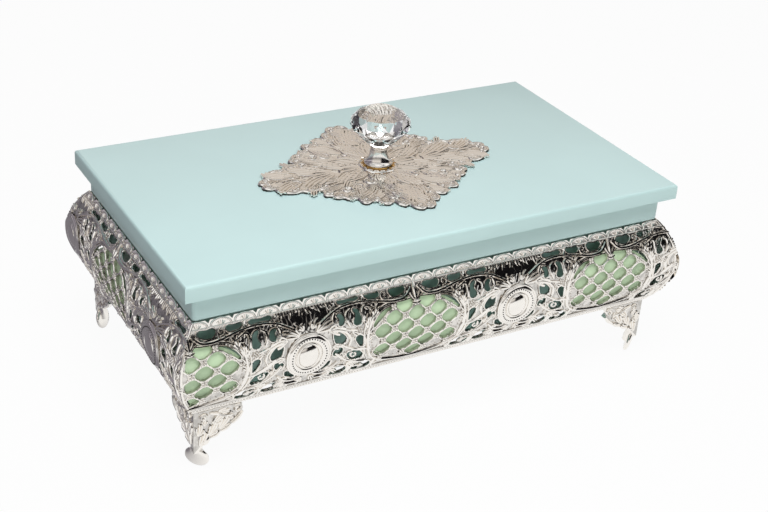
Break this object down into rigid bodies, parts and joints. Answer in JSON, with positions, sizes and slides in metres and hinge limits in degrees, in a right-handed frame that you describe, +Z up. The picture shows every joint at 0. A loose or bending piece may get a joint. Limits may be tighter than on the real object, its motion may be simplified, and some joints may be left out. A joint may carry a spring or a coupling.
{
  "type": "footed lidded keepsake box",
  "caption": "Lacquered box with a lift-off lid and cut-crystal knob, standing on cast corner feet inside a pierced, outward-curved silvered gallery.",
  "frame": {"origin": "on the table, under the middle of the box's footprint", "axes": "+X along the long front, +Y from the front to the back, +Z up"},
  "size_m": [0.2828, 0.1638, 0.1356],
  "materials": {
    "mint_lid": "satin lacquer",
    "mint_paint": "satin lacquer",
    "silvered_metal": "polished plate with darkened recesses",
    "green_backing": "mottled",
    "brass": "polished",
    "crystal": "cut and polished",
    "steel": "plain"
  },
  "bodies": {
    "box": {"base_board": "mint_paint", "wall_front": "mint_paint", "liner_front": "mint_paint", "gallery_front": "silvered_metal", "wall_back": "mint_paint", "liner_back": "mint_paint", "gallery_back": "silvered_metal", "wall_left": "mint_paint", "liner_left": "mint_paint", "gallery_left": "silvered_metal", "wall_right": "mint_paint", "liner_right": "mint_paint", "gallery_right": "silvered_metal", "backing_front_1": "green_backing", "backing_front_2": "green_backing", "backing_front_3": "green_backing", "backing_back_1": "green_backing", "backing_back_2": "green_backing", "backing_back_3": "green_backing", "backing_left_1": "green_backing", "backing_right_1": "green_backing", "foot_front_left": "silvered_metal", "foot_front_right": "silvered_metal", "foot_back_left": "silvered_metal", "foot_back_right": "silvered_metal", "foot_screws": "steel"},
    "lid": {"lid_rail_front": "mint_paint", "lid_rail_back": "mint_paint", "lid_rail_left": "mint_paint", "lid_rail_right": "mint_paint", "lid_board": "mint_lid", "lid_ornament": "silvered_metal", "knob_rosette": "brass", "knob_stem": "silvered_metal", "knob_crystal": "crystal", "knob_washer": "steel", "knob_screw": "steel"}
  },
  "joints": [
    {"name": "lid_lift", "type": "slide", "parent": "box", "child": "lid", "axis": [0, 0, 1], "range_m": [0, 0.13]}
  ]
}
